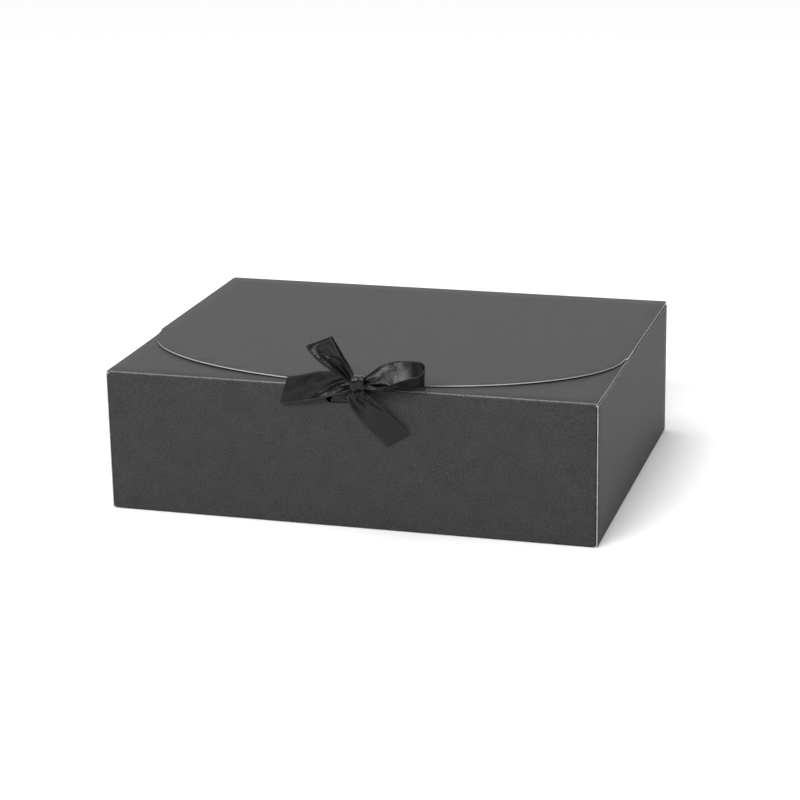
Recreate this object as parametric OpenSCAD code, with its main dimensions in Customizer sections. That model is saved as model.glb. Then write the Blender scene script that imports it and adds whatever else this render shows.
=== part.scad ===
// Folding gift box of matte black card, closed by a satin ribbon tied in a bow.
// The origin is the centre of the floor's underside, +Z is up and the bow faces -Y.

/* [Box] */
// Outside width of the box, left to right
box_w = 270; // [200:1:340]
// Outside depth of the box, front to back
box_d = 204; // [180:1:260]
// Outside height of the closed box
box_h = 79; // [60:1:120]
// Thickness of the card
card_t = 0.6; // [0.4:0.1:0.8]
// Inside radius of a folded crease
fold_r = 0.4; // [0.2:0.1:0.6]
// Air left between two layers of card
layer_gap = 0.2; // [0.1:0.05:0.3]
// Radius of the raised bead that a hinge crease turns on
crease_r = 0.42; // [0.4:0.02:0.6]
// Running gap between a hinge crease and the panel that turns on it
crease_gap = 0.05; // [0.02:0.01:0.1]

/* [Double side walls] */
// Width of the roll-over strip on top of a side wall, outside to inside
spine_w = 3; // [3:0.1:5]
// How far a side wall's cut end stands back from the front and back faces
side_inset = 0.4; // [0.2:0.1:1]
// Length of the tabs that fold in between the two layers
tab_len = 72; // [40:1:80]
// Length of a lock tongue
tongue_len = 28; // [16:1:36]
// Distance of the lock tongues from the middle of the side wall
tongue_pos = 54; // [30:1:60]

/* [Lid and front flap] */
// Distance of the lid's free edge from the front face, at its middle
lid_setback = 5; // [3:0.5:10]
// Distance from the front face to where the lid's curved edge meets its straight sides
arc_depth = 80; // [60:1:110]
// Step in the lid's side where the curved edge begins
arc_step = 1.2; // [0.4:0.2:3]
// Length of the front flap under the lid
flap_len = 116; // [100:1:125]
// Width that the flap leaves free at each end of the front edge
flap_side = 0.6; // [0.4:0.1:4]

/* [Ribbon] */
// Thickness of the ribbon
ribbon_t = 0.5; // [0.3:0.1:0.8]
// Width of the closed loop through the slots
band_w = 14; // [10:1:15]
// Width of the slots in the front wall and the lid
slot_w = 21; // [18:1:30]
// Height of the slots
slot_h = 4.4; // [4:0.1:6]
// Depth of the front slot's middle below the top of the box
front_slot_drop = 7.7; // [7:0.1:9]
// Distance of the lid slot's middle behind the front face
lid_slot_back = 14.7; // [14:0.1:16]
// Width of the knot
knot_w = 9; // [7:0.5:12]
// Height of the knot
knot_h = 8.6; // [7:0.2:11]
// Thickness of the knot, front to back
knot_d = 5.8; // [4:0.2:7]

/* [Hidden] */
$fn = 48;
half_w = box_w / 2;
half_d = box_d / 2;
bend_r = fold_r + card_t;

// Heights of the stacked layers at the top: lid, front flap, side wall
lid_z = box_h - card_t / 2;
flap_z = lid_z - card_t - layer_gap;
side_top = flap_z - card_t / 2 - layer_gap;
crease_y = half_d - card_t / 2;

// Places of the layers of a side wall, measured from the middle of the box
outer_x = half_w - card_t;
tab_x = outer_x - layer_gap - card_t;
inner_x = half_w - spine_w;
corner_x = tab_x + card_t - bend_r;
crease_half_w = corner_x + bend_r;
panel_end_y = half_d - card_t - layer_gap;
outer_end_y = half_d - side_inset;

tongue_clear = 0.4;
tongue_low = 0.1;
tab_drop = 0.3;
corner_relief = 0.6;

lid_half_w = half_w - layer_gap;
arc_half_w = lid_half_w - arc_step;
arc_depth_r = arc_depth - lid_setback;
arc_steps = 72;
flap_half_w = half_w - flap_side;
flap_taper = 8;
flap_slot_extra = 1.6;

// The bow is drawn from the middle of the front top edge: x to the right, then how far it
// stands out in front of the box, then height above the top of the box
knot_x = 8.5;
knot_out = 3.7;
knot_up = 2.8;

// The closed loop's middle line as [out, up]: from the knot back over the edge, down through
// the lid and the flap, forward inside the box, out of the front slot and up to the knot
band_line = [
    [1.6, 1.3], [-6, 0.6], [-12.8, 0.6], [-lid_slot_back, -0.4], [-lid_slot_back + 0.3, -1.8],
    [-1.4, -front_slot_drop + 0.3], [0.4, -front_slot_drop], [0.9, -front_slot_drop + 0.8], [0.8, -3]
];
band_x = 1.5;

// Each strip of the bow is a list of stations: middle [x, out, up], then half its width
// as a vector [x, out, up] towards its upper or right-hand edge
left_tail_stations = [
    [4.9, 4.3, 2.6, 0, -0.6, 3.2],
    [3, 4.4, 2.3, 0.1, -0.7, 3.9],
    [-4, 4.6, 2.1, 0.4, -1.2, 6.2],
    [-13.5, 4.2, 0.5, 0.8, -1.2, 7.4],
    [-23, 3.6, -1.9, 1.5, -0.9, 7.5],
    [-32.9, 2.8, -4, 2.1, -0.5, 7.4]
];
right_tail_stations = [
    [9.1, 4.9, -0.6, 3, 0, 0],
    [8.1, 5, -2.8, 4.9, 0, 0.7],
    [10.2, 4.6, -7, 5.8, 0.2, 2.8],
    [15.4, 3.8, -13.2, 6.1, 0.2, 4],
    [21.8, 3.1, -19.8, 6.2, 0.3, 4.2],
    [29.1, 2.5, -26.7, 6.3, 0.2, 4.2]
];
left_loop_stations = [
    [4.8, 5.2, 6, 1.6, 0.6, 1.4],
    [2.2, 5.9, 9.4, 2.6, 0.6, 1.8],
    [-3.2, 6.9, 14.6, 4.9, 0.3, 2.3],
    [-8.5, 6.9, 20.6, 6.4, 0, 2.8],
    [-11.2, 6.4, 24, 6.9, 0, 2.9],
    [-12, 4.9, 25.1, 6.9, 0, 2.9],
    [-11.7, 3.4, 24, 6.9, 0, 2.9],
    [-9.9, 2.6, 20.6, 6.8, 0, 2.8],
    [-4.9, 1.8, 14, 5.2, 0, 2.4],
    [1.2, 2, 8.8, 2.6, 0, 1.6],
    [4.2, 2.2, 5.8, 1.4, 0, 1.2]
];
right_loop_stations = [
    [12, 2.8, 3.6, -0.6, 0, 1.9],
    [15.5, 2.8, 5, -0.8, -0.8, 3.3],
    [21, 2.6, 7.1, -0.8, -2.4, 5.5],
    [28.5, 2.4, 8.2, -0.5, -3.6, 6.5],
    [37.5, 2.9, 8.8, 0.1, -2.4, 7],
    [43.2, 4.4, 8.9, 0.2, 0, 7.3],
    [45.4, 7, 8, 0.3, 3.6, 6.3],
    [44, 9.2, 6.8, 0.3, 5, 5.4],
    [39.2, 9.9, 5.9, 0.2, 5.5, 5],
    [32.4, 9.8, 4.3, 0, 6.2, 4.1],
    [25.5, 8.8, 2.7, 0, 6.2, 3.1],
    [19.5, 7.4, 1.9, 0, 4.7, 2.2],
    [14.5, 5.4, 1.8, 0, 2.5, 1.8],
    [12, 4.9, 1.9, 0, 1.3, 1.4]
];
strip_steps = 4;

card_colour = [0.07, 0.07, 0.075];
crease_colour = [0.12, 0.12, 0.125];
ribbon_colour = [0.03, 0.03, 0.035];

function unit(v) = v / norm(v);

// Smooth curve through four neighbouring stations, at t from 0 to 1 between the middle two
function between(a, b, c, d, t) =
    0.5 * (2 * b + (c - a) * t + (2 * a - 5 * b + 4 * c - d) * pow(t, 2)
    + (3 * b - a - 3 * c + d) * pow(t, 3));

function smooth(rows, steps) = let (last = len(rows) - 1) [
    for (i = [0:last - 1], k = [0:steps - 1])
        between(rows[max(i - 1, 0)], rows[i], rows[i + 1], rows[min(i + 2, last)], k / steps),
    rows[last]
];

function place(v) = [v[0], -half_d - v[1], box_h + v[2]];
function turn(v) = [v[0], -v[1], v[2]];
function middle(row) = place([row[0], row[1], row[2]]);
function half_width(row) = turn([row[3], row[4], row[5]]);

// The four corners of the strip's section at station i
function strip_corners(rows, i) = let (
    last = len(rows) - 1,
    along = middle(rows[min(i + 1, last)]) - middle(rows[max(i - 1, 0)]),
    w = half_width(rows[i]),
    n = unit(cross(along, w)) * ribbon_t / 2,
    m = middle(rows[i])
) [m + w + n, m + w - n, m - w - n, m - w + n];

// The direction square to a line of points at point i, pointing to its left
function side_of(line, i) = let (
    n = len(line),
    d = unit(unit(line[(i + 1) % n] - line[i]) + unit(line[i] - line[(i + n - 1) % n]))
) [-d[1], d[0]];

// Quarter-round fold: its hollow side faces the second quadrant, centred on the origin
module fold_2d() {
    intersection() {
        difference() {
            circle(r = bend_r);
            circle(r = fold_r);
        }
        translate([0, -bend_r]) square(bend_r);
    }
}

// Slot with round ends, centred on the origin
module slot_2d(length, height) {
    square([length - height, height], center = true);
    for (side = [-1, 1]) translate([side * (length - height) / 2, 0]) circle(d = height);
}

module card_block(low, high) {
    translate(low) cube(high - low);
}

// Wall folded up from the floor, in its own plane at the front of the box; top is where
// the hinge crease sits
module folded_wall(top) {
    difference() {
        card_block([-corner_x, -half_d, bend_r], [corner_x, card_t - half_d, top]);
        translate([-half_w, -crease_y, top]) rotate([0, 90, 0]) cylinder(r = crease_r, h = box_w);
    }
    translate([-corner_x, -half_d + bend_r, bend_r])
        rotate([90, 0, 90]) linear_extrude(2 * corner_x) mirror([1, 0]) fold_2d();
}

// Round bead along the fold between a wall and the panel that turns on it
module hinge_crease(y, z) {
    translate([-crease_half_w, y, z]) rotate([0, 90, 0]) cylinder(r = crease_r, h = 2 * crease_half_w);
}

// Tab folded back from the right end of the front wall into the double side wall
module folded_tab() {
    low = bend_r + corner_relief;
    high = side_top - card_t - tab_drop;
    card_block([tab_x, -half_d + bend_r, low], [tab_x + card_t, -half_d + bend_r + tab_len, high]);
    translate([corner_x, -half_d + bend_r, low]) linear_extrude(high - low) fold_2d();
}

module right_outer() {
    fold_end = half_d - bend_r - layer_gap;
    card_block([outer_x, -outer_end_y, bend_r], [half_w, outer_end_y, side_top - bend_r]);
    translate([half_w - bend_r, fold_end, bend_r])
        rotate([90, 0, 0]) linear_extrude(2 * fold_end) fold_2d();
}

module right_spine() {
    crest = side_top - bend_r;
    outer_fold = half_w - bend_r;
    inner_fold = inner_x + bend_r;
    translate([0, panel_end_y, crest]) rotate([90, 0, 0]) linear_extrude(2 * panel_end_y) {
        translate([outer_fold, 0]) mirror([0, 1]) fold_2d();
        translate([inner_fold, 0]) rotate(180) fold_2d();
        translate([inner_fold, fold_r]) square([outer_fold - inner_fold, card_t]);
    }
}

module right_inner() {
    card_block([inner_x, -panel_end_y, card_t], [inner_x + card_t, panel_end_y, side_top - bend_r]);
    for (side = [-1, 1])
        card_block([inner_x, side * tongue_pos - tongue_len / 2, tongue_low],
            [inner_x + card_t, side * tongue_pos + tongue_len / 2, card_t]);
}

module to_left() {
    mirror([1, 0, 0]) children();
}

module to_back() {
    mirror([0, 1, 0]) children();
}

// ---- Card blank ----

module floor_panel() {
    color(card_colour) difference() {
        card_block([bend_r - half_w, bend_r - half_d, 0], [half_w - bend_r, half_d - bend_r, card_t]);
        for (side = [-1, 1], place_y = [-1, 1])
            translate([side * (inner_x + card_t / 2), place_y * tongue_pos, 0])
                cube([card_t + 2 * layer_gap, tongue_len + 2 * tongue_clear, 4 * card_t], center = true);
    }
}

module front_wall() {
    color(card_colour) difference() {
        folded_wall(flap_z);
        translate([0, -half_d + 2 * card_t, box_h - front_slot_drop])
            rotate([90, 0, 0]) linear_extrude(4 * card_t) slot_2d(slot_w, slot_h);
    }
}

module back_wall() {
    color(card_colour) to_back() folded_wall(lid_z);
}

module right_wall_outer() {
    color(card_colour) right_outer();
}

module left_wall_outer() {
    color(card_colour) to_left() right_outer();
}

module right_wall_spine() {
    color(card_colour) right_spine();
}

module left_wall_spine() {
    color(card_colour) to_left() right_spine();
}

module right_wall_inner() {
    color(card_colour) right_inner();
}

module left_wall_inner() {
    color(card_colour) to_left() right_inner();
}

module front_right_tab() {
    color(card_colour) folded_tab();
}

module front_left_tab() {
    color(card_colour) to_left() folded_tab();
}

module back_right_tab() {
    color(card_colour) to_back() folded_tab();
}

module back_left_tab() {
    color(card_colour) to_back() to_left() folded_tab();
}

module lid_crease() {
    color(crease_colour) hinge_crease(crease_y, lid_z);
}

module flap_crease() {
    color(crease_colour) hinge_crease(-crease_y, flap_z);
}

// The lid's outline: straight sides from the back crease, then half an ellipse to the front
module lid_outline() {
    arc_y = -half_d + arc_depth;
    polygon(concat(
        [[lid_half_w, crease_y], [lid_half_w, arc_y + arc_step]],
        [for (i = [0:arc_steps]) let (a = 180 * i / arc_steps)
            [arc_half_w * cos(a), arc_y - arc_depth_r * sin(a)]],
        [[-lid_half_w, arc_y + arc_step], [-lid_half_w, crease_y]]
    ));
}

module lid_panel() {
    color(card_colour) difference() {
        translate([0, 0, lid_z - card_t / 2]) linear_extrude(card_t) difference() {
            lid_outline();
            translate([0, -half_d + lid_slot_back]) slot_2d(slot_w, slot_h);
        }
        translate([-half_w, crease_y, lid_z]) rotate([0, 90, 0])
            cylinder(r = crease_r + crease_gap, h = box_w);
    }
}

module front_flap() {
    end_y = flap_len - crease_y;
    side_end_y = end_y - 2 * flap_taper;
    cut_half_w = flap_half_w - flap_taper;
    color(card_colour) difference() {
        translate([0, 0, flap_z - card_t / 2]) linear_extrude(card_t) difference() {
            polygon([
                [-flap_half_w, -crease_y], [flap_half_w, -crease_y], [flap_half_w, side_end_y],
                [cut_half_w, end_y], [-cut_half_w, end_y], [-flap_half_w, side_end_y]
            ]);
            translate([0, -half_d + lid_slot_back])
                slot_2d(slot_w + flap_slot_extra, slot_h + flap_slot_extra);
        }
        translate([-half_w, -crease_y, flap_z]) rotate([0, 90, 0])
            cylinder(r = crease_r + crease_gap, h = box_w);
    }
}

// ---- Ribbon ----

module ribbon_strip(stations) {
    rows = smooth(stations, strip_steps);
    n = len(rows);
    polyhedron(
        points = [for (i = [0:n - 1]) each strip_corners(rows, i)],
        faces = concat(
            [[0, 1, 2], [0, 2, 3]],
            [for (i = [0:n - 2], k = [0:3]) let (a = 4 * i + k, b = 4 * i + (k + 1) % 4) each
                [[a, a + 4, b + 4], [a, b + 4, b]]],
            [[4 * n - 4, 4 * n - 2, 4 * n - 3], [4 * n - 4, 4 * n - 1, 4 * n - 2]]
        )
    );
}

module band_edge(side) {
    n = len(band_line);
    polygon([for (i = [0:n - 1]) band_line[i] + side * side_of(band_line, i) * ribbon_t / 2]);
}

module ribbon_band() {
    color(ribbon_colour) translate([band_x - band_w / 2, -half_d, box_h])
        rotate([90, 0, 90]) mirror([1, 0]) linear_extrude(band_w) difference() {
            band_edge(-1);
            band_edge(1);
        }
}

module ribbon_knot() {
    color(ribbon_colour) translate(place([knot_x - knot_w / 2, knot_out, knot_up]))
        rotate([90, 90, 90]) linear_extrude(knot_w) slot_2d(knot_h, knot_d);
}

module left_loop() {
    color(ribbon_colour) ribbon_strip(left_loop_stations);
}

module right_loop() {
    color(ribbon_colour) ribbon_strip(right_loop_stations);
}

module left_tail() {
    color(ribbon_colour) ribbon_strip(left_tail_stations);
}

module right_tail() {
    color(ribbon_colour) ribbon_strip(right_tail_stations);
}

floor_panel();
front_wall();
back_wall();
left_wall_outer();
right_wall_outer();
left_wall_spine();
right_wall_spine();
left_wall_inner();
right_wall_inner();
front_left_tab();
front_right_tab();
back_left_tab();
back_right_tab();
lid_crease();
lid_panel();
flap_crease();
front_flap();
ribbon_band();
ribbon_knot();
left_loop();
right_loop();
left_tail();
right_tail();
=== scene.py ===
"""Folding gift box of matte black card, closed by a black satin ribbon tied in a bow.

Lengths in the tables below are in millimetres; everything built in Blender is in metres.
"""
import math

import bmesh
import bpy
from mathutils import Matrix, Vector, noise


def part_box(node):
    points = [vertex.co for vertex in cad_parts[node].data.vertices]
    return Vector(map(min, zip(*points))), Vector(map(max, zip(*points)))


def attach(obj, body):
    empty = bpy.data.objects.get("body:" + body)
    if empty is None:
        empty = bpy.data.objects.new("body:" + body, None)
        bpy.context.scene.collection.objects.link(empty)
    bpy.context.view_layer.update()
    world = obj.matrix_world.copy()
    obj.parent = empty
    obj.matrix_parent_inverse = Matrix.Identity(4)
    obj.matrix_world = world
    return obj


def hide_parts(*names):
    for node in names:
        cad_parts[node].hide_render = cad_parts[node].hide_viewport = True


MM = 0.001

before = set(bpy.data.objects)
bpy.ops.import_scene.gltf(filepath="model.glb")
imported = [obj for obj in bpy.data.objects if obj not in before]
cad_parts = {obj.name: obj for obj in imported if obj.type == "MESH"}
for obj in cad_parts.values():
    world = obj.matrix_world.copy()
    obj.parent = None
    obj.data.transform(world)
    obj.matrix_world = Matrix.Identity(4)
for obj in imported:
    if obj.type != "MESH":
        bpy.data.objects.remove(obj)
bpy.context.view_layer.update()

# ---------------------------------------------------------------- sizes from the frame
lid_low, lid_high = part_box("lid_panel")
flap_low, flap_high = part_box("front_flap")
wall_low, wall_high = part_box("front_wall")
_, back_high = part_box("back_wall")
_, side_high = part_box("right_wall_outer")

CARD_T = lid_high.z - lid_low.z
FRONT_Y = wall_low.y
BACK_Y = back_high.y
HALF_W = side_high.x
TOP_Z = lid_high.z
BEND_R = 1.0 * MM          # outside radius of the folds at the floor
MID_R = BEND_R - CARD_T / 2
WALL_FOOT = BEND_R - MID_R * math.pi / 2    # lower end of a wall's sheet, which rolls under it
CREASE_GAP = 0.3 * MM      # left free for the creased folds at the lid and the front flap
SHEET_SPACING = 9 * MM     # how finely a sheet is cut up
SWELL_SIZE = 55 * MM       # width of the slow swells in the card

ARC_DEPTH = 80 * MM        # front face to where the lid's curved edge meets its sides
LID_SETBACK = 5 * MM       # front face to the middle of the lid's free edge
ARC_STEP = 1.2 * MM        # step in the lid's side where the curved edge begins
SLOT_W = 21 * MM
SLOT_H = 4.4 * MM
FRONT_SLOT_DROP = 7.7 * MM
LID_SLOT_BACK = 14.7 * MM
FLAP_SLOT_EXTRA = 1.6 * MM
FLAP_TAPER = 8 * MM
LID_HELD = 34 * MM         # to each side of the middle, where the ribbon holds the lid down

RIBBON_W = 15 * MM
RIBBON_T = 0.3 * MM
PICOT_PITCH = 0.9 * MM     # spacing of the tiny loops along the ribbon's woven edges
PICOT_SIZE = 0.16 * MM
STRIP_COLUMNS = 48
WAVE_SHARE = 1.25          # gathering that one broad wave takes up, before the pleats begin
WAVE_FOLDS = 0.9
WAVE_LIMIT = 1.1 * MM
PLEAT_FOLDS = 2.6
PLEAT_LIMIT = 0.9 * MM

# ---------------------------------------------------------------- the bow's stations, mm
# Each strip is a list of stations: middle (x, out, up) from the middle of the front top
# edge, then half its width as a vector (x, out, up) towards its upper or right-hand edge.
LEFT_TAIL = [
    (4.9, 4.3, 2.6, 0, -0.6, 3.2),
    (3, 4.4, 2.3, 0.1, -0.7, 3.9),
    (-4, 4.6, 2.1, 0.4, -1.2, 6.2),
    (-13.5, 4.2, 0.5, 0.8, -1.2, 7.4),
    (-23, 3.6, -1.9, 1.5, -0.9, 7.5),
    (-32.9, 2.8, -4, 2.1, -0.5, 7.4),
]
RIGHT_TAIL = [
    (9.1, 4.9, -0.6, 3, 0, 0),
    (8.1, 5, -2.8, 4.9, 0, 0.7),
    (10.2, 4.6, -7, 5.8, 0.2, 2.8),
    (15.4, 3.8, -13.2, 6.1, 0.2, 4),
    (21.8, 3.1, -19.8, 6.2, 0.3, 4.2),
    (29.1, 2.5, -26.7, 6.3, 0.2, 4.2),
]
LEFT_LOOP = [
    (4.8, 5.2, 6, 1.6, 0.6, 1.4),
    (2.2, 5.9, 9.4, 2.6, 0.6, 1.8),
    (-3.2, 6.9, 14.6, 4.9, 0.3, 2.3),
    (-8.5, 6.9, 20.6, 6.4, 0, 2.8),
    (-11, 6.4, 23.4, 6.9, 0, 2.9),
    (-12, 4.7, 25, 6.9, 0, 2.9),
    (-11.7, 3.2, 24, 6.9, 0, 2.9),
    (-9.9, 2.6, 20.6, 6.8, 0, 2.8),
    (-4.9, 1.8, 14, 5.2, 0, 2.4),
    (1.2, 2, 8.8, 2.6, 0, 1.6),
    (4.2, 2.2, 5.8, 1.4, 0, 1.2),
]
RIGHT_LOOP = [
    (12, 2.8, 3.6, -0.6, 0, 1.9),
    (15.5, 2.8, 5, -0.8, -0.8, 3.3),
    (21, 2.6, 7.1, -0.8, -2.4, 5.5),
    (28.5, 2.4, 8.2, -0.5, -3.6, 6.5),
    (37.5, 2.9, 8.8, 0.1, -2.4, 7),
    (43.2, 4.4, 8.9, 0.2, 0, 7.3),
    (45.4, 7, 8, 0.3, 3.6, 6.3),
    (44, 9.2, 6.8, 0.3, 5, 5.4),
    (39.2, 9.9, 5.9, 0.2, 5.5, 5),
    (32.4, 9.8, 4.3, 0, 6.2, 4.1),
    (25.5, 8.8, 2.7, 0, 6.2, 3.1),
    (19.5, 7.4, 1.9, 0, 4.7, 2.2),
    (14.5, 5.4, 1.8, 0, 2.5, 1.8),
    (12, 4.9, 1.9, 0, 1.3, 1.4),
]
BAND = [
    (8.2, 2, 3.2, 3.4, 0, 0),
    (5.8, -1, 1.6, 5, 0, 0),
    (2.4, -6, 0.75, 6.8, 0, 0),
    (0.6, -11.8, 0.75, 7.4, 0, 0),
    (0.2, -14.6, -0.6, 7.5, 0, 0),
    (0, -13.4, -2.4, 7.5, 0, 0),
    (0, -7.4, -5.6, 7.5, 0, 0),
    (0, -1.4, -8.6, 7.5, 0, 0),
    (0, 0.6, -9, 7.5, 0, 0),
    (0.5, 1.2, -6.6, 7.3, 0, 0),
    (3.6, 1.2, -2.4, 5.8, 0, 0.2),
    (7.2, 1.6, 1.2, 3.6, 0, 0.2),
]
# Ridges (height over 0) and grooves (under 0) pressed into the cloth, each from one place to
# another: (along, across) from (0, -1) to (1, 1), twice, then half width and height, mm.
LEFT_TAIL_CREASES = [
    (0.12, 0.3, 0.6, -0.85, 1.6, -1.3),
    (0.14, -0.3, 0.44, -0.85, 1.8, 0.9),
    (0.1, 0.5, 0.5, 0.25, 1.8, 0.7),
    (0.62, 0.5, 0.95, -0.2, 3.2, 0.35),
]
RIGHT_TAIL_CREASES = [
    (0, 0.15, 0.5, 0.72, 1.1, -0.8),
    (0.1, -0.5, 0.6, -0.75, 2.2, 0.5),
]
LEFT_LOOP_CREASES = [
    (0.02, -0.05, 0.31, -0.65, 2, 1.7),
    (0.02, 0.4, 0.22, 0.5, 1.4, -0.5),
]
RIGHT_LOOP_CREASES = [
    (0, -0.3, 0.2, -0.75, 1.4, -0.9),
    (0, 0.5, 0.22, 0.8, 1.3, -0.8),
    (0.72, 0.1, 0.98, 0, 1.2, -0.8),
]
KNOT = {"x": 8.5, "out": 3.7, "up": 2.8, "width": 9, "height": 8.6, "depth": 5.8, "tuck": 1}


def smoothstep(low, high, value):
    t = min(1.0, max(0.0, (value - low) / (high - low)))
    return t * t * (3 - 2 * t)


# ---------------------------------------------------------------- camera
CAMERA_PLACE = (0.35798, -1.22527, 0.43806)
CAMERA_TURN = 16.275       # degrees to the left of looking straight at the front wall
CAMERA_DOWN = 17.32        # degrees below level
CAMERA_ROLL = -1.03        # degrees
CAMERA_LENS = 105.94       # mm
CAMERA_SENSOR = 36         # mm wide


def turned(degrees, axis):
    return Matrix.Rotation(math.radians(degrees), 4, axis)


def add_camera():
    data = bpy.data.cameras.new("camera")
    data.sensor_width = CAMERA_SENSOR
    data.lens = CAMERA_LENS
    data.clip_start = 0.05
    data.clip_end = 60
    camera = bpy.data.objects.new("camera", data)
    bpy.context.scene.collection.objects.link(camera)
    aim = turned(CAMERA_TURN, "Z") @ turned(90 - CAMERA_DOWN, "X") @ turned(CAMERA_ROLL, "Z")
    camera.matrix_world = Matrix.Translation(CAMERA_PLACE) @ aim
    bpy.context.scene.camera = camera


# ---------------------------------------------------------------- materials
CARD_TONE = 0.021
CREASE_TONE = 0.095        # the fibres show paler where the card is folded
CUT_TONE = 0.42
PICOT_TONE = 0.025


def new_material(name):
    material = bpy.data.materials.new(name)
    material.use_nodes = True
    tree = material.node_tree
    shader = next(n for n in tree.nodes if n.type == "BSDF_PRINCIPLED")
    return material, tree, shader


def add_node(tree, kind, inputs=None, **settings):
    node = tree.nodes.new(kind)
    for key, value in settings.items():
        setattr(node, key, value)
    for key, value in (inputs or {}).items():
        if isinstance(value, bpy.types.NodeSocket):
            tree.links.new(value, node.inputs[key])
        else:
            node.inputs[key].default_value = value
    return node


def math_node(tree, operation, a, b=0.0, c=0.0):
    return add_node(tree, "ShaderNodeMath", {0: a, 1: b, 2: c}, operation=operation).outputs[0]


def weighted_sum(tree, *terms):
    """Each value times its weight, added up; terms are (value, weight) pairs."""
    total = 0.0
    for value, weight in terms:
        total = math_node(tree, "MULTIPLY_ADD", value, weight, total)
    return total


def ramp(tree, value, low, high, to_low=0.0, to_high=1.0):
    """Straight ramp from to_low at low to to_high at high, held at both ends."""
    inputs = {"Value": value, "From Min": low, "From Max": high, "To Min": to_low, "To Max": to_high}
    return add_node(tree, "ShaderNodeMapRange", inputs).outputs["Result"]


def mix_colour(tree, factor, a, b):
    node = add_node(tree, "ShaderNodeMix", data_type="RGBA")
    for socket, value in ((node.inputs["Factor"], factor), (node.inputs[6], a), (node.inputs[7], b)):
        if isinstance(value, bpy.types.NodeSocket):
            tree.links.new(value, socket)
        else:
            socket.default_value = value
    return node.outputs[2]


def noise_node(tree, vector, scale, detail=2.0, roughness=0.5):
    inputs = {"Vector": vector, "Scale": scale, "Detail": detail, "Roughness": roughness}
    return add_node(tree, "ShaderNodeTexNoise", inputs).outputs["Fac"]


def bump(tree, shader, height, strength, distance):
    inputs = {"Height": height, "Strength": strength, "Distance": distance}
    tree.links.new(add_node(tree, "ShaderNodeBump", inputs).outputs["Normal"], shader.inputs["Normal"])


def grey(value):
    """Very slightly blue grey."""
    return (value, value, value * 1.03, 1)


def card_material(name, cut_faces, base=CARD_TONE):
    """Matte black card. cut_faces weighs the directions (x, y, z) that only cut edges and
    folds face, where the rubbed fibres show paler."""
    material, tree, shader = new_material(name)
    coords = add_node(tree, "ShaderNodeTexCoord")
    place = coords.outputs["Object"]
    fibre = noise_node(tree, place, 900, 3, 0.6)
    grain = noise_node(tree, place, 3200, 2, 0.5)
    blotch = noise_node(tree, place, 120, 3, 0.6)

    facing = add_node(tree, "ShaderNodeVectorMath", {0: coords.outputs["Normal"]}, operation="ABSOLUTE")
    weights = {0: facing.outputs[0], 1: cut_faces}
    cut_share = add_node(tree, "ShaderNodeVectorMath", weights, operation="DOT_PRODUCT").outputs["Value"]
    ragged = math_node(tree, "MULTIPLY_ADD", fibre, 0.5, -0.25)
    edge = ramp(tree, math_node(tree, "ADD", cut_share, ragged), 0.35, 0.95)

    mottle = weighted_sum(tree, (fibre, 0.5), (grain, 0.35), (blotch, 0.15))
    face = mix_colour(tree, ramp(tree, mottle, 0.36, 0.64), grey(base * 0.45), grey(base * 1.55))
    tree.links.new(mix_colour(tree, edge, face, grey(CUT_TONE)), shader.inputs["Base Color"])
    tree.links.new(ramp(tree, mottle, 0, 1, to_low=0.52, to_high=0.66), shader.inputs["Roughness"])
    shader.inputs["Specular IOR Level"].default_value = 0.24
    height = weighted_sum(tree, (fibre, 0.6), (grain, 0.4))
    bump(tree, shader, height, strength=0.35, distance=0.15 * MM)
    return material


def cloth_noise(tree, along, across, cells, detail=2, roughness=0.5):
    """Noise on the flat ribbon, with cells (along, across) to the metre."""
    u = math_node(tree, "MULTIPLY", along, cells[0])
    v = math_node(tree, "MULTIPLY", across, cells[1])
    place = add_node(tree, "ShaderNodeCombineXYZ", {0: u, 1: v}).outputs[0]
    return noise_node(tree, place, 1.0, detail, roughness)


def satin_material(name, thread_low, thread_high, rough):
    """Black satin ribbon: fine threads along its length and a ribbed, looped selvedge."""
    material, tree, shader = new_material(name)
    uv = add_node(tree, "ShaderNodeUVMap", uv_map="ribbon").outputs["UV"]
    parts = add_node(tree, "ShaderNodeSeparateXYZ", {0: uv})
    along, across = parts.outputs[0], parts.outputs[1]
    threads = cloth_noise(tree, along, across, (260.0, 5200.0))
    picks = cloth_noise(tree, along, across, (3600.0, 900.0), detail=1)
    grain = cloth_noise(tree, along, across, (1500.0, 1900.0), roughness=0.6)

    from_middle = math_node(tree, "ABSOLUTE", across)
    selvedge = ramp(tree, from_middle, RIBBON_W / 2 - 0.9 * MM, RIBBON_W / 2 - 0.35 * MM)
    wave = math_node(tree, "SINE", math_node(tree, "MULTIPLY", along, 2 * math.pi / PICOT_PITCH))
    loops = math_node(tree, "MULTIPLY", selvedge, ramp(tree, wave, -0.2, 0.9))

    cloth = mix_colour(tree, threads, grey(thread_low), grey(thread_high))
    tree.links.new(mix_colour(tree, loops, cloth, grey(PICOT_TONE)), shader.inputs["Base Color"])
    grainy = math_node(tree, "MULTIPLY_ADD", picks, 0.16, rough - 0.08)
    tree.links.new(math_node(tree, "MULTIPLY_ADD", selvedge, 0.25, grainy), shader.inputs["Roughness"])
    shader.inputs["Specular IOR Level"].default_value = 0.22
    shader.inputs["Anisotropic"].default_value = 0.45
    shader.inputs["Anisotropic Rotation"].default_value = 0.25
    height = weighted_sum(tree, (threads, 0.4), (picks, 0.4), (grain, 1.1), (loops, 1.5))
    bump(tree, shader, height, strength=0.6, distance=0.16 * MM)
    tangent = add_node(tree, "ShaderNodeTangent", direction_type="UV_MAP", uv_map="ribbon")
    tree.links.new(tangent.outputs["Tangent"], shader.inputs["Tangent"])
    return material


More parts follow.
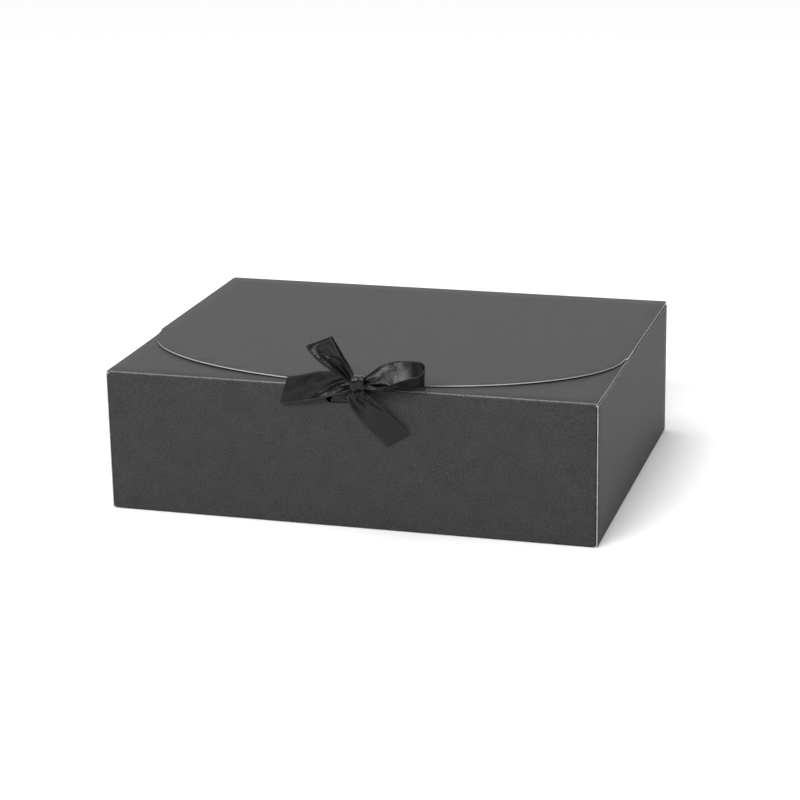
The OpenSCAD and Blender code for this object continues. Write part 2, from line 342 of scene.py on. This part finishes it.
def floor_material():
    material, tree, shader = new_material("pale_floor")
    shader.inputs["Base Color"].default_value = (0.74, 0.74, 0.74, 1)
    shader.inputs["Roughness"].default_value = 0.9
    shader.inputs["Specular IOR Level"].default_value = 0.1
    return material


# ---------------------------------------------------------------- mesh helpers
SMOOTH_ANGLE = 40          # degrees; sharper edges than this stay crisp
BEVEL_ANGLE = 55           # degrees; sharper edges than this are rounded


def link_mesh(name, mesh, material):
    piece = bpy.data.objects.new(name, mesh)
    bpy.context.scene.collection.objects.link(piece)
    mesh.materials.append(material)
    return piece


def bake(piece):
    """Applies the piece's modifiers to its mesh and shades it smooth between sharp edges."""
    shown = piece.evaluated_get(bpy.context.evaluated_depsgraph_get())
    mesh = bpy.data.meshes.new_from_object(shown)
    piece.modifiers.clear()
    piece.data = mesh
    mesh.polygons.foreach_set("use_smooth", [True] * len(mesh.polygons))
    mesh.set_sharp_from_angle(angle=math.radians(SMOOTH_ANGLE))
    return piece


def slot_cutter(length, height, place):
    """A prism with round ends to cut a slot; place turns (along, across, depth) into a point."""
    half = (length - height) / 2
    radius = height / 2
    steps = 12
    ring = []
    for side in (1, -1):
        for k in range(steps + 1):
            a = math.pi * k / steps - math.pi / 2
            ring.append((side * (half + radius * math.cos(a)), side * radius * math.sin(a)))
    bm = bmesh.new()
    ends = [[bm.verts.new(place(x, y, depth)) for x, y in ring] for depth in (-2 * MM, 2 * MM)]
    bm.faces.new(ends[0])
    bm.faces.new(reversed(ends[1]))
    for k in range(len(ring)):
        j = (k + 1) % len(ring)
        bm.faces.new((ends[0][k], ends[1][k], ends[1][j], ends[0][j]))
    bmesh.ops.recalc_face_normals(bm, faces=bm.faces)
    mesh = bpy.data.meshes.new("slot_cutter")
    bm.to_mesh(mesh)
    bm.free()
    cutter = bpy.data.objects.new("slot_cutter", mesh)
    bpy.context.scene.collection.objects.link(cutter)
    return cutter


def card_sheet(name, node, body, outline, place, material, rows=(), slot=None):
    """A sheet of card cut to outline (u, v), cut up finely enough to curve, laid by place(u, v),
    given its thickness and its slot, and with its edges slightly rounded."""
    bm = bmesh.new()
    bm.faces.new([bm.verts.new((u, v, 0)) for u, v in outline])
    for axis in (0, 1):
        values = [p[axis] for p in outline]
        low, high = min(values), max(values)
        count = max(2, round((high - low) / SHEET_SPACING))
        cuts = [low + (high - low) * k / count for k in range(1, count)]
        cuts += list(rows) if axis == 1 else []
        direction = Vector((1, 0, 0)) if axis == 0 else Vector((0, 1, 0))
        for cut in cuts:
            parts = bm.verts[:] + bm.edges[:] + bm.faces[:]
            bmesh.ops.bisect_plane(bm, geom=parts, dist=1e-7, plane_co=direction * cut, plane_no=direction)
    for vert in bm.verts:
        vert.co = place(vert.co.x, vert.co.y)
    bmesh.ops.recalc_face_normals(bm, faces=bm.faces)
    mesh = bpy.data.meshes.new(name)
    bm.to_mesh(mesh)
    bm.free()
    piece = link_mesh(name, mesh, material)
    solid = piece.modifiers.new("thickness", "SOLIDIFY")
    solid.thickness = CARD_T
    solid.offset = 0
    solid.use_even_offset = True
    if slot:
        hole = piece.modifiers.new("slot", "BOOLEAN")
        hole.object = slot
        hole.operation = "DIFFERENCE"
        hole.solver = "EXACT"
    round_edges(piece)
    bake(piece)
    if slot:
        bpy.data.objects.remove(slot)
    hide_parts(node)
    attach(piece, body)
    return piece


def round_edges(piece, width=0.12 * MM):
    bevel = piece.modifiers.new("soft_edges", "BEVEL")
    bevel.width = width
    bevel.segments = 2
    bevel.limit_method = "ANGLE"
    bevel.angle_limit = math.radians(BEVEL_ANGLE)
    bevel.harden_normals = False


def wavy(u, v, seed):
    """Slow random swell, from -1 to 1."""
    return noise.noise(Vector((u / SWELL_SIZE, v / SWELL_SIZE, seed)))


# ---------------------------------------------------------------- card
def rectangle(u0, u1, v0, v1):
    return [(u0, v0), (u1, v0), (u1, v1), (u0, v1)]


def wall_place(to_point, half_u, top, seed, bulge):
    """Lays a sheet on a wall: v is the height on the wall's middle surface, and below the
    floor fold's height it rolls round under the wall. out is measured from the outer face."""
    def place(u, v):
        if v >= BEND_R:
            share = max(0.0, (v - BEND_R) / (top - BEND_R))
            window = max(0.0, 1 - (u / half_u) ** 2) * math.sin(math.pi * min(1.0, share))
            swell = window * (bulge + 0.22 * MM * wavy(u, v, seed))
            return to_point(u, swell - CARD_T / 2, v)
        angle = (BEND_R - v) / MID_R
        return to_point(u, -BEND_R + MID_R * math.cos(angle), BEND_R - MID_R * math.sin(angle))
    return place


def fold_rows(top):
    quarter = MID_R * math.pi / 2
    return [BEND_R - quarter * k / 5 for k in range(5)] + [BEND_R + 0.6 * MM, top - 0.8 * MM]


def wall_card(name, half_u, top, to_point, seed, bulge, material, slot=None):
    card_sheet(name + "_card", name, "box", rectangle(-half_u, half_u, WALL_FOOT, top),
               wall_place(to_point, half_u, top, seed, bulge), material, rows=fold_rows(top), slot=slot)


def make_front_wall(materials):
    slot_z = TOP_Z - FRONT_SLOT_DROP
    slot = slot_cutter(SLOT_W, SLOT_H, lambda x, y, depth: (x, FRONT_Y + depth, slot_z + y))
    wall_card("front_wall", wall_high.x, wall_high.z - CREASE_GAP,
              lambda u, out, z: (u, FRONT_Y - out, z), 2.1, 0.35 * MM, materials["y_wall"], slot)


def make_back_wall(materials):
    wall_card("back_wall", wall_high.x, back_high.z - CREASE_GAP,
              lambda u, out, z: (u, BACK_Y + out, z), 4.1, 0.35 * MM, materials["y_wall"])


def make_side_walls(materials):
    for name, side in (("left_wall_outer", -1), ("right_wall_outer", 1)):
        def to_point(u, out, z, side=side):
            return (side * (HALF_W + out), u, z)
        wall_card(name, side_high.y, side_high.z, to_point, 8.4 + side, 0.25 * MM, materials["x_wall"])


def lid_outline():
    """Straight back and sides, and a half ellipse in front that begins with a small step."""
    half = lid_high.x
    arc_half = half - ARC_STEP
    arc_y = FRONT_Y + ARC_DEPTH
    reach = ARC_DEPTH - LID_SETBACK
    back = lid_high.y - CREASE_GAP
    steps = 120
    arc = []
    for k in range(steps + 1):
        a = math.pi * k / steps
        arc.append((arc_half * math.cos(a), arc_y - reach * math.sin(a)))
    return [(half, back), (half, arc_y + ARC_STEP), *arc, (-half, arc_y + ARC_STEP), (-half, back)]


def lid_place(u, v):
    """The lid springs up very slightly towards its free edge, except where the ribbon holds it."""
    free = smoothstep(BACK_Y, FRONT_Y + 10 * MM, v)
    held = math.exp(-((u / LID_HELD) ** 2))
    lift = free * (1 - held) * (0.35 + 0.25 * wavy(u, v, 5.5)) * MM
    return (u, v, lid_low.z + CARD_T / 2 + lift)


def flap_outline():
    """A rectangle whose two far corners are cut off."""
    half = flap_high.x
    end = flap_high.y
    side_end = end - 2 * FLAP_TAPER
    narrow = half - FLAP_TAPER
    front = flap_low.y + 0.05 * MM
    return [(-half, front), (half, front), (half, side_end), (narrow, end), (-narrow, end), (-half, side_end)]


def flap_place(u, v):
    """The flap sags very slightly behind its crease."""
    sag = smoothstep(FRONT_Y, FRONT_Y + 30 * MM, v) * 0.1 * MM * (1 + wavy(u, v, 9.2))
    return (u, v, flap_low.z + CARD_T / 2 - sag)


def make_lid(material):
    slot_y = FRONT_Y + LID_SLOT_BACK
    slot = slot_cutter(SLOT_W, SLOT_H, lambda x, y, depth: (x, slot_y + y, lid_low.z + depth))
    card_sheet("lid_card", "lid_panel", "lid", lid_outline(), lid_place, material, slot=slot)


def make_flap(material):
    slot_y = FRONT_Y + LID_SLOT_BACK
    slot = slot_cutter(SLOT_W + FLAP_SLOT_EXTRA, SLOT_H + FLAP_SLOT_EXTRA,
                       lambda x, y, depth: (x, slot_y + y, flap_low.z + depth))
    card_sheet("flap_card", "front_flap", "flap", flap_outline(), flap_place, material, slot=slot)


def dress_cad_card(materials):
    """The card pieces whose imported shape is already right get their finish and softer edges."""
    finish = {
        "flat": ["floor_panel"],
        "spine": ["left_wall_spine", "right_wall_spine"],
        "x_wall": ["left_wall_inner", "right_wall_inner"],
        "tab": ["front_left_tab", "front_right_tab", "back_left_tab", "back_right_tab"],
        "crease": ["lid_crease", "flap_crease"],
    }
    for kind, nodes in finish.items():
        for name in nodes:
            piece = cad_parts[name]
            piece.data.materials.clear()
            piece.data.materials.append(materials[kind])
            if kind != "crease":
                round_edges(piece, 0.1 * MM)


# ---------------------------------------------------------------- ribbon
def bow_point(x, out, up):
    return Vector((x * MM, FRONT_Y - out * MM, TOP_Z + up * MM))


def between(a, b, c, d, t):
    """Smooth curve through four neighbouring stations, at t from 0 to 1 between b and c."""
    point = []
    for p, q, r, s in zip(a, b, c, d):
        squared_part = (2 * p - 5 * q + 4 * r - s) * t * t
        cubed_part = (3 * q - p - 3 * r + s) * t ** 3
        point.append(0.5 * (2 * q + (r - p) * t + squared_part + cubed_part))
    return point


def smooth_rows(stations, spacing):
    """Middle points and half-width vectors along a strip, about spacing apart."""
    last = len(stations) - 1
    steps = 24
    dense = []
    for i in range(last):
        four = (stations[max(i - 1, 0)], stations[i], stations[i + 1], stations[min(i + 2, last)])
        dense += [between(*four, k / steps) for k in range(steps)]
    dense.append(list(stations[last]))
    middles = [bow_point(*row[:3]) for row in dense]
    halves = [Vector((row[3], -row[4], row[5])) * MM for row in dense]
    run = [0.0]
    for a, b in zip(middles, middles[1:]):
        run.append(run[-1] + (b - a).length)
    count = max(8, round(run[-1] / spacing))
    rows, j = [], 0
    for k in range(count + 1):
        goal = run[-1] * k / count
        while j < len(run) - 2 and run[j + 1] < goal:
            j += 1
        t = (goal - run[j]) / max(1e-9, run[j + 1] - run[j])
        rows.append((middles[j].lerp(middles[j + 1], t), halves[j].lerp(halves[j + 1], t)))
    return rows, run[-1]


def ribbon_mesh(name, surface, rows, columns, length, materials, closed=False):
    """A thin closed strip: surface(i, j) gives the middle surface. Its first side is the satin's
    dull back and its second side the shiny face, and its UV map holds the place on the flat
    ribbon, in metres."""
    points = [[surface(i, j) for j in range(columns + 1)] for i in range(rows + 1)]
    bm = bmesh.new()
    uv = bm.loops.layers.uv.new("ribbon")
    sides = ([], [])
    ring = rows if closed else rows + 1
    for i in range(ring):
        for side in sides:
            side.append([])
        for j in range(columns + 1):
            ahead = points[(i + 1) % ring if closed else min(i + 1, rows)][j]
            behind = points[(i - 1) % ring if closed else max(i - 1, 0)][j]
            right = points[i][min(j + 1, columns)]
            left = points[i][max(j - 1, 0)]
            normal = (ahead - behind).cross(right - left).normalized()
            for side, sign in zip(sides, (1, -1)):
                side[i].append(bm.verts.new(points[i][j] + normal * sign * RIBBON_T / 2))

    def flat(i, j):
        return (length * i / rows, RIBBON_W * (j / columns - 0.5))

    def face(corners, places, finish=0):
        made = bm.faces.new(corners)
        made.smooth = True
        made.material_index = finish
        for loop, place in zip(made.loops, places):
            loop[uv].uv = place

    front, back = sides
    for i in range(rows):
        n = (i + 1) % ring if closed else i + 1
        for j in range(columns):
            places = [flat(i, j), flat(i + 1, j), flat(i + 1, j + 1), flat(i, j + 1)]
            face((front[i][j], front[n][j], front[n][j + 1], front[i][j + 1]), places, 1)
            face((back[i][j + 1], back[n][j + 1], back[n][j], back[i][j]), places[::-1])
        for j in (0, columns):
            rim = (front[i][j], back[i][j], back[n][j], front[n][j])
            places = [flat(i, j), flat(i, j), flat(i + 1, j), flat(i + 1, j)]
            face(rim if j == 0 else rim[::-1], places if j == 0 else places[::-1])
    if not closed:
        for i in (0, rows):
            for j in range(columns):
                rim = (front[i][j], front[i][j + 1], back[i][j + 1], back[i][j])
                places = [flat(i, j), flat(i, j + 1), flat(i, j + 1), flat(i, j)]
                face(rim if i == 0 else rim[::-1], places if i == 0 else places[::-1])
    bmesh.ops.recalc_face_normals(bm, faces=bm.faces)
    mesh = bpy.data.meshes.new(name)
    bm.to_mesh(mesh)
    bm.free()
    piece = link_mesh(name, mesh, materials[0])
    mesh.materials.append(materials[1])
    return piece


def picot(distance):
    return PICOT_SIZE * max(0.0, math.sin(2 * math.pi * distance / PICOT_PITCH))


def crease_height(creases, along, across, length, half_width):
    """Height of the pressed ridges and grooves at one place of a strip."""
    total = 0.0
    here = Vector((along * length, across * half_width))
    for along_a, across_a, along_b, across_b, width, height in creases:
        a = Vector((along_a * length, across_a * half_width))
        b = Vector((along_b * length, across_b * half_width))
        line = b - a
        share = max(0.0, min(1.0, (here - a).dot(line) / line.length_squared))
        gap = (here - a - line * share).length
        fade = 1 - 0.55 * share
        total += height * MM * fade * math.exp(-((gap / (width * MM)) ** 2))
    return total


def fold_height(width, gather, folds, limit):
    """Height of the waves that take up a cloth's spare width."""
    spare = 2 * max(0.0, gather ** 2 - 1)
    steepness = spare / math.sqrt(spare + 0.25)
    return min(limit, width * steepness / (2 * math.pi * folds))


def ribbon_strip(name, node, stations, materials, creases, phase):
    """A strip of ribbon along its stations. Where it is narrower than the flat ribbon, the
    spare width first bows into one broad wave and then gathers into small pleats, which phase
    shifts sideways."""
    rows, length = smooth_rows(stations, PICOT_PITCH / 4)
    last = len(rows) - 1
    columns = STRIP_COLUMNS
    tangents = [(rows[min(i + 1, last)][0] - rows[max(i - 1, 0)][0]).normalized() for i in range(last + 1)]

    def surface(i, j):
        middle, half = rows[i]
        t = 2 * j / columns - 1
        distance = length * i / last
        normal = tangents[i].cross(half).normalized()
        width = 2 * half.length
        gather = max(1.0, RIBBON_W / width)
        waved = min(gather, WAVE_SHARE)
        broad = fold_height(width, waved, WAVE_FOLDS, WAVE_LIMIT)
        fine = fold_height(width, gather / waved, PLEAT_FOLDS, PLEAT_LIMIT)
        drift = noise.noise(Vector((distance / (8 * MM), phase, 0.3)))
        skew = t + 0.18 * math.sin(2.3 * t + phase)
        ripple = broad * math.sin(WAVE_FOLDS * math.pi * skew + phase + 0.6 * drift)
        ripple += fine * math.sin(PLEAT_FOLDS * math.pi * skew + 2 * phase + 1.4 * drift)
        flutter = 0.2 * MM * noise.noise(Vector((distance / (6 * MM), 1.4 * t, phase)))
        pressed = crease_height(creases, i / last, t, length, half.length)
        edge = picot(distance) * (1 if j == columns else -1 if j == 0 else 0)
        return middle + half * t + half.normalized() * edge + normal * (ripple + flutter - pressed)

    piece = ribbon_mesh(name, surface, last, columns, length, materials)
    finish_ribbon(piece, node)
    return piece


def finish_ribbon(piece, node):
    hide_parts(node)
    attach(piece, "ribbon")


def squared(value):
    """Pulls a sine or cosine outwards, so that an ellipse gets flatter sides."""
    return math.copysign(abs(value) ** 0.78, value)


def knot_depth(a, x, half_width, turn):
    """How far the cloth lies inside the knot's outline, mm: its tucked edges, a rounding
    across it, a slow fold and one fine crease."""
    depth = KNOT["tuck"] * (1 - math.cos(turn)) + 0.3 * (x / half_width) ** 2
    depth += 0.3 * math.sin(0.9 * x + 1.3 * math.sin(a + 0.5) + 0.6) * math.cos(min(turn, math.pi / 2))
    depth += 0.22 * math.exp(-((x - 1.2 - 1.6 * math.sin(a)) / 0.5) ** 2)
    return depth


def make_knot(materials):
    """The ribbon's one turn round the middle of the bow, drawn tight, its edges tucked under."""
    around, columns = 132, STRIP_COLUMNS
    tuck = KNOT["tuck"]
    half_d, half_h = KNOT["depth"] / 2, KNOT["height"] / 2
    mean = math.sqrt((3 * half_d + half_h) * (half_d + 3 * half_h))
    length = math.pi * (3 * (half_d + half_h) - mean) * MM

    def surface(i, j):
        a = 2 * math.pi * (i % around) / around
        half_width = KNOT["width"] / 2 * (0.94 - 0.06 * math.sin(a + 0.4)) - tuck
        across = (half_width + math.pi * tuck) * (2 * j / columns - 1)
        turn = max(0.0, abs(across) - half_width) / tuck
        x = math.copysign(min(abs(across), half_width) + tuck * math.sin(turn), across)
        depth = knot_depth(a, x, half_width, turn)
        out = half_d * squared(math.cos(a)) - depth * math.cos(a)
        up = half_h * squared(math.sin(a)) - depth * math.sin(a)
        lean = 0.35 * math.sin(a + 0.3)
        return bow_point(KNOT["x"] + x + lean, KNOT["out"] + out, KNOT["up"] + up)

    piece = ribbon_mesh("knot_wrap", surface, around, columns, length, materials, closed=True)
    finish_ribbon(piece, "ribbon_knot")


def make_ribbon():
    shiny = satin_material("satin_face", thread_low=0.002, thread_high=0.006, rough=0.2)
    dull = satin_material("satin_back", thread_low=0.002, thread_high=0.007, rough=0.22)
    sides = (shiny, dull)
    strips = (
        ("band", "ribbon_band", BAND, [], 0.4, "folded"),
        ("left_tail_satin", "left_tail", LEFT_TAIL, LEFT_TAIL_CREASES, 2.2, "gathered"),
        ("right_tail_satin", "right_tail", RIGHT_TAIL, RIGHT_TAIL_CREASES, 0.2, "gathered"),
        ("left_loop_satin", "left_loop", LEFT_LOOP, LEFT_LOOP_CREASES, 1.1, "folded"),
        ("right_loop_satin", "right_loop", RIGHT_LOOP, RIGHT_LOOP_CREASES, 2.6, "folded"),
    )
    for name, node, stations, creases, phase, held in strips:
        ribbon_strip(name, node, stations, sides, creases, phase)
    make_knot(sides)


# ---------------------------------------------------------------- floor and light
FLOOR_REACH = 30           # metres from the box, so that no horizon shows
KEY_PLACE = (-0.2, -1.4, 1.05)
KEY_TARGET = (0, -0.05, 0.05)
KEY_SIZE = (1.2, 0.45)
KEY_POWER = 33
SUN_WAY = (0.22, 0.12, -1)
SUN_POWER = 1.8
SUN_ANGLE = 40


def add_lamp(name, kind, way):
    """A new light that shines along way."""
    data = bpy.data.lights.new(name, kind)
    lamp = bpy.data.objects.new(name, data)
    bpy.context.scene.collection.objects.link(lamp)
    lamp.rotation_mode = "QUATERNION"
    lamp.rotation_quaternion = Vector(way).to_track_quat("-Z", "Y")
    return lamp, data


def add_key():
    """A wide softbox in front and above, whose mirror image is the satin's gleam."""
    lamp, data = add_lamp("key", "AREA", Vector(KEY_TARGET) - Vector(KEY_PLACE))
    lamp.location = KEY_PLACE
    data.shape = "RECTANGLE"
    data.size, data.size_y = KEY_SIZE
    data.energy = KEY_POWER


def add_sky_softbox():
    """A very wide, even light from above and a little to the front left."""
    data = add_lamp("sky_softbox", "SUN", SUN_WAY)[1]
    data.energy = SUN_POWER
    data.angle = math.radians(SUN_ANGLE)


def add_world():
    """A white room, brighter behind the box than in front of it."""
    world = bpy.data.worlds.new("studio")
    world.use_nodes = True
    tree = world.node_tree
    back = next(n for n in tree.nodes if n.type == "BACKGROUND")
    coords = add_node(tree, "ShaderNodeTexCoord")
    way = add_node(tree, "ShaderNodeSeparateXYZ", {0: coords.outputs["Generated"]})
    paler = ramp(tree, way.outputs[1], -0.6, 0.8, to_low=0.2, to_high=1.3)
    tree.links.new(paler, back.inputs["Strength"])
    back.inputs["Color"].default_value = (1, 1, 1, 1)
    bpy.context.scene.world = world


def make_floor():
    mesh = bpy.data.meshes.new("floor")
    corners = rectangle(-FLOOR_REACH, FLOOR_REACH, -FLOOR_REACH, FLOOR_REACH)
    mesh.from_pydata([(x, y, 0) for x, y in corners], [], [(0, 1, 2, 3)])
    floor = link_mesh("floor", mesh, floor_material())
    floor.location.z = -0.2 * MM


def make_stage():
    make_floor()
    add_world()
    add_key()
    add_sky_softbox()
    bpy.context.scene.view_settings.view_transform = "Standard"


def main():
    add_camera()
    materials = {
        "flat": card_material("card_flat", (1, 1, 0)),
        "x_wall": card_material("card_side", (0, 0.72, 0.5)),
        "y_wall": card_material("card_front", (0.4, 0, 0.5)),
        "tab": card_material("card_tab", (0, 0, 0.9)),
        "spine": card_material("card_spine", (0.5, 0.9, 0)),
        "crease": card_material("card_crease", (0, 0, 0), base=CREASE_TONE),
    }
    make_front_wall(materials)
    make_back_wall(materials)
    make_side_walls(materials)
    make_lid(materials["flat"])
    make_flap(materials["flat"])
    dress_cad_card(materials)
    make_ribbon()
    make_stage()


main()
